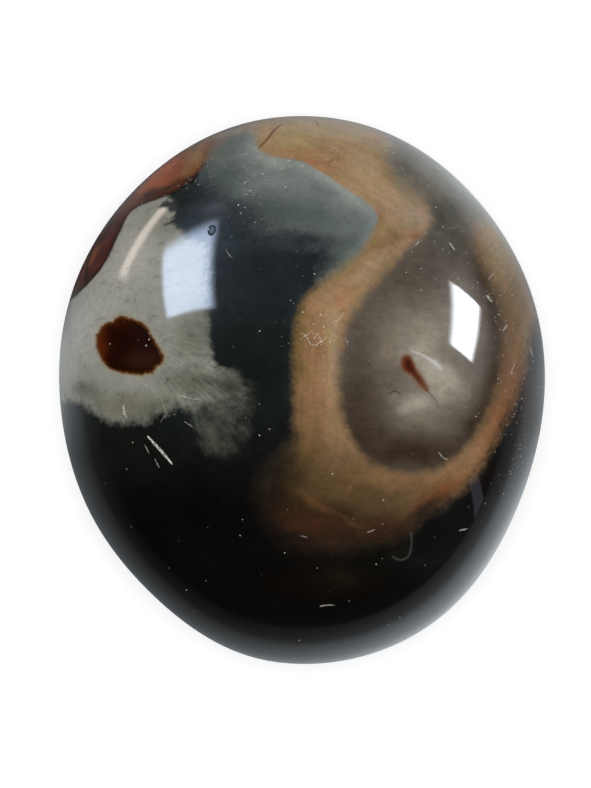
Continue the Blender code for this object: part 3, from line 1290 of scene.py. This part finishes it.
    def polished(self) -> bpy.types.Material:
        """Lays on every marking and polishes the stone.

        Returns:
            The finished material.
        """
        layers = self.slate, self.plume, self.sage, self.feather, self.rust, self.spot, self.band, self.eye
        for lay_on in layers:
            lay_on()
        marked, flecks, hollow = self.stroked(), self.flecked(), self.pitted()
        dulled = (marked, self.marked_roughness), (flecks, self.marked_roughness), (1.0, self.haze_roughness)
        broken = self.maths("MAXIMUM", self.times(marked, self.scratch_dullness), hollow)
        dented = (marked, self.scratch_rise), (hollow, self.pit_rise)
        bump = self.node("Bump")
        bump.inputs["Distance"].default_value = 1.0
        height = self.blend(*dented, grain=self.grain_rise, mottle=self.mottle_rise)
        self.feed(bump.inputs["Height"], height)
        return self.end(
            "BsdfPrincipled",
            base_color=self.stone,
            roughness=self.blend(*dulled, grain=self.grain_roughness),
            ior=self.refraction,
            specular_ior_level=self.haze_level,
            normal=bump.outputs[0],
            coat_weight=self.maths("SUBTRACT", 1.0, broken),
            coat_roughness=self.shine_roughness,
            coat_ior=self.refraction,
            coat_normal=bump.outputs[0],
        )


@dataclass
class Pebble:
    """The pebble itself: one fine surface over the solid, with the painting on it."""

    form: PebbleForm
    view: PhotoView
    doublings: int = 7

    def build(self) -> bpy.types.Object:
        """Makes the surface, paints it and polishes it.

        Returns:
            The finished piece, in place of the solid's node.
        """
        bpy.ops.mesh.primitive_cube_add(size=2)
        stone = bpy.context.object
        stone.name = stone.data.name = "jasper_pebble"
        divide = stone.modifiers.new("divide", "SUBSURF")
        divide.subdivision_type = "SIMPLE"
        divide.levels = divide.render_levels = self.doublings
        bpy.ops.object.modifier_apply(modifier=divide.name)
        mesh = stone.data
        cube = np.empty(len(mesh.vertices) * 3)
        mesh.vertices.foreach_get("co", cube)
        even = np.tan(cube.reshape(-1, 3) * (math.pi / 4))
        points = self.form.skin(even / np.linalg.norm(even, axis=1)[:, None])
        painting = JasperPainting(self.view)
        painting.lay_on(mesh, points)
        mesh.vertices.foreach_set("co", ((points + self.standing(points)) * MM).ravel())
        mesh.update()
        mesh.shade_smooth()
        mesh.materials.append(JasperFinish(tuple(painting.stroke_layers())).polished())
        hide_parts(NODE)
        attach(stone, "root")
        return stone

    def standing(self, points: np.ndarray) -> np.ndarray:
        """The shift that stands the pebble on the origin, with the middle of its outline over it."""
        low, high = points.min(axis=0), points.max(axis=0)
        return -np.array(((low[0] + high[0]) / 2, (low[1] + high[1]) / 2, low[2]))


@dataclass(frozen=True)
class GlowSheet:
    """A glowing sheet that only the pebble's gloss sees."""

    name: str
    colour: Triple

    def build(self, points: Sequence[Triple], faces: Sequence[Sequence[int]], glow: Sequence[float]) -> None:
        """Makes the sheet and hides it from all but gloss.

        Args:
            points: Its points, in metres.
            faces: The points of each face.
            glow: How bright it is at each point.
        """
        mesh = bpy.data.meshes.new(self.name)
        mesh.from_pydata(list(points), [], list(faces))
        leave(mesh, "glow", np.array(glow, float))
        sheet = bpy.data.objects.new(self.name, mesh)
        bpy.context.scene.collection.objects.link(sheet)
        recipe = Recipe(self.name)
        glowing = recipe.end("Emission", color=seen(self.colour), strength=recipe.read("glow", "Fac"))
        mesh.materials.append(glowing)
        sheet.visible_camera = sheet.visible_diffuse = sheet.visible_shadow = False
        sheet.visible_transmission = sheet.visible_volume_scatter = False


@dataclass(frozen=True)
class WindowCard:
    """A bright card that stands where the pebble mirrors it to the camera at four given pixels.

    The corners go round from the upper left one. A side's fade is the share of the card that it takes up.
    """

    name: str
    corners: tuple[Pair, Pair, Pair, Pair]
    colour: Triple
    radiance: float
    fades: tuple[float, float, float, float]
    top_share: float = 1.0
    distance: float = 1300.0
    cells: int = 24

    def build(self, form: PebbleForm, view: PhotoView, shift: np.ndarray) -> None:
        """Stands the card.

        Args:
            form: The pebble, which mirrors it.
            view: The camera.
            shift: How far the pebble was moved to stand on the origin.
        """
        corners = []
        for pixel in self.corners:
            towards = view.ray(pixel)
            struck = form.struck(view.lens_at(), towards)
            normal = form.normal(struck)
            mirrored = towards - 2 * (towards @ normal) * normal
            corners.append((struck + mirrored * self.distance + shift) * MM)
        left, top, right, bottom = self.fades
        points, faces, glow = [], [], []
        for row, column in itertools.product(range(self.cells + 1), repeat=2):
            down, over = row / self.cells, column / self.cells
            upper = corners[0] + (corners[1] - corners[0]) * over
            lower = corners[3] + (corners[2] - corners[3]) * over
            points.append(tuple(upper + (lower - upper) * down))
            edges = (over / left, down / top, (1 - over) / right, (1 - down) / bottom)
            share = float(np.prod(eased(np.array(edges), 0, 1)))
            glow.append(self.radiance * share * (self.top_share + (1 - self.top_share) * down))
            if row and column:
                at = row * (self.cells + 1) + column
                faces.append((at, at - 1, at - self.cells - 2, at - self.cells - 1))
        GlowSheet(self.name, self.colour).build(points, faces, glow)


@dataclass
class Studio:
    """The floor, the lights and the camera, with lengths in metres except in the glow's rings."""

    form: PebbleForm
    view: PhotoView
    shift: np.ndarray
    floor_half: float = 2.5
    floor_brightness: float = 0.93
    floor_lift: float = 0.19
    sky: Triple = (236, 238, 240)
    sky_strength: float = 0.62
    softbox_side: float = 0.55
    softbox_height: float = 1.1
    softbox_power: float = 7.0
    clip: Pair = (0.01, 20.0)
    glow_colour: Triple = (236, 244, 250)
    glow_height: float = 0.0002
    glow_sectors: int = 120
    glow_rings: tuple[Pair, ...] = (
        (0, 0), (24, 0.15), (34, 0.5), (41, 0.75), (50, 0.92), (58, 1), (80, 1), (96, 0.9), (108, 0.74),
        (120, 0.5), (132, 0.36), (160, 0.28), (220, 0.22), (300, 0.16), (350, 0.1), (380, 0),
    )
    glow_round: tuple[Pair, ...] = (
        (0, 0.46), (8, 0.4), (20, 0.37), (28, 0.46), (36, 0.64), (48, 0.88), (62, 0.64), (75, 0.44),
        (90, 0.36), (105, 0.22), (118, 0.11), (134, 0.17), (145, 0.05), (155, 0.04), (163, 0.24), (172, 0.55),
        (182, 0.44), (195, 0.18), (225, 0.16), (240, 0.18), (255, 0.3), (270, 0.46), (290, 0.74), (318, 0.92),
        (333, 0.84), (345, 0.56), (352, 0.4), (360, 0.46),
    )
    windows: tuple[WindowCard, ...] = (
        WindowCard(
            "left_window", ((162, 245), (225, 212), (219, 309), (166, 321)), (206, 225, 255), 13.2,
            (0.12, 0.27, 0.16, 0.03), 0.88,
        ),
        WindowCard(
            "right_window", ((447, 278), (483, 308), (474, 365), (447, 343)), (240, 247, 255), 26.0,
            (0.3, 0.04, 0.2, 0.04),
        ),
        WindowCard(
            "curtain_gap", ((161, 205), (171, 209), (127, 285), (115, 280)), (255, 238, 224), 4.0,
            (0.38, 0.05, 0.42, 0.12), 1.35, 75.0,
        ),
        WindowCard(
            "far_doorway", ((467, 478), (478, 473), (485, 524), (471, 546)), (222, 226, 255), 0.42,
            (0.12, 0.1, 0.12, 0.2),
        ),
        WindowCard(
            "far_window", ((504, 428), (514, 434), (524, 470), (508, 486)), (226, 236, 255), 0.5,
            (0.25, 0.25, 0.25, 0.25),
        ),
    )

    def build(self) -> None:
        """Sets up everything around the pebble."""
        self.build_floor()
        self.build_glow()
        self.build_lights()
        self.build_camera()
        for window in self.windows:
            window.build(self.form, self.view, self.shift)
            log.info("%s stands", window.name)

    def build_floor(self) -> None:
        """Lays a plain pale floor, which the pebble's gloss doesn't see."""
        bpy.ops.mesh.primitive_plane_add(size=2 * self.floor_half)
        floor = bpy.context.object
        floor.name = "floor"
        pale, white = (self.floor_brightness,) * 3 + (1.0,), (1.0,) * 4
        floor.data.materials.append(Recipe("pale_floor").end(
            "BsdfPrincipled", base_color=pale, specular_ior_level=0.0, emission_color=white,
            emission_strength=self.floor_lift,
        ))
        floor.visible_glossy = False

    def build_glow(self) -> None:
        """Lays the light that the polish mirrors from the floor, brightest to the pebble's lower right."""
        sectors = self.glow_sectors
        round_it = np.interp(np.arange(sectors) * 360 / sectors, *zip(*self.glow_round))
        points, faces, glow = [], [], []
        for radius, strength in self.glow_rings:
            for sector in range(sectors):
                angle, reach = 2 * math.pi * sector / sectors, radius * MM
                points.append((reach * math.cos(angle), reach * math.sin(angle), self.glow_height))
                glow.append(strength * float(round_it[sector]))
        for ring, sector in itertools.product(range(len(self.glow_rings) - 1), range(sectors)):
            after = (sector + 1) % sectors
            low, high = ring * sectors, (ring + 1) * sectors
            faces.append((low + sector, high + sector, high + after, low + after))
        GlowSheet("floor_glow", self.glow_colour).build(points, faces, glow)

    def build_lights(self) -> None:
        """Hangs a soft box overhead and lights the rest evenly, with neither seen in the polish."""
        light = bpy.data.lights.new("softbox", "AREA")
        light.shape = "DISK"
        light.size = self.softbox_side
        light.energy = self.softbox_power
        box = bpy.data.objects.new("softbox", light)
        box.location = (0.0, 0.0, self.softbox_height)
        box.visible_glossy = False
        bpy.context.scene.collection.objects.link(box)
        world = bpy.data.worlds.new("studio")
        bpy.context.scene.world = world
        world.use_nodes = True
        background = world.node_tree.nodes["Background"]
        background.inputs["Color"].default_value = seen(self.sky)
        background.inputs["Strength"].default_value = self.sky_strength
        world.cycles_visibility.glossy = False
        bpy.context.scene.view_settings.view_transform = "Standard"

    def build_camera(self) -> None:
        """Hangs the camera straight over the pebble's face."""
        data = bpy.data.cameras.new("camera")
        data.sensor_width = self.view.sensor
        data.lens = self.view.focal_length()
        data.clip_start, data.clip_end = self.clip
        camera = bpy.data.objects.new("camera", data)
        camera.location = tuple((self.view.lens_at() + self.shift) * MM)
        bpy.context.scene.collection.objects.link(camera)
        bpy.context.scene.camera = camera


def main() -> None:
    """Builds the pebble and its studio."""
    logging.basicConfig(level=logging.INFO, format="%(name)s: %(message)s")
    form, view = PebbleForm(), PhotoView()
    stone = Pebble(form, view).build()
    log.info("%s has %d faces", stone.name, len(stone.data.polygons))
    Studio(form, view, np.array((0.0, 0.0, form.rest_depth))).build()


if __name__ == "__main__":
    main()
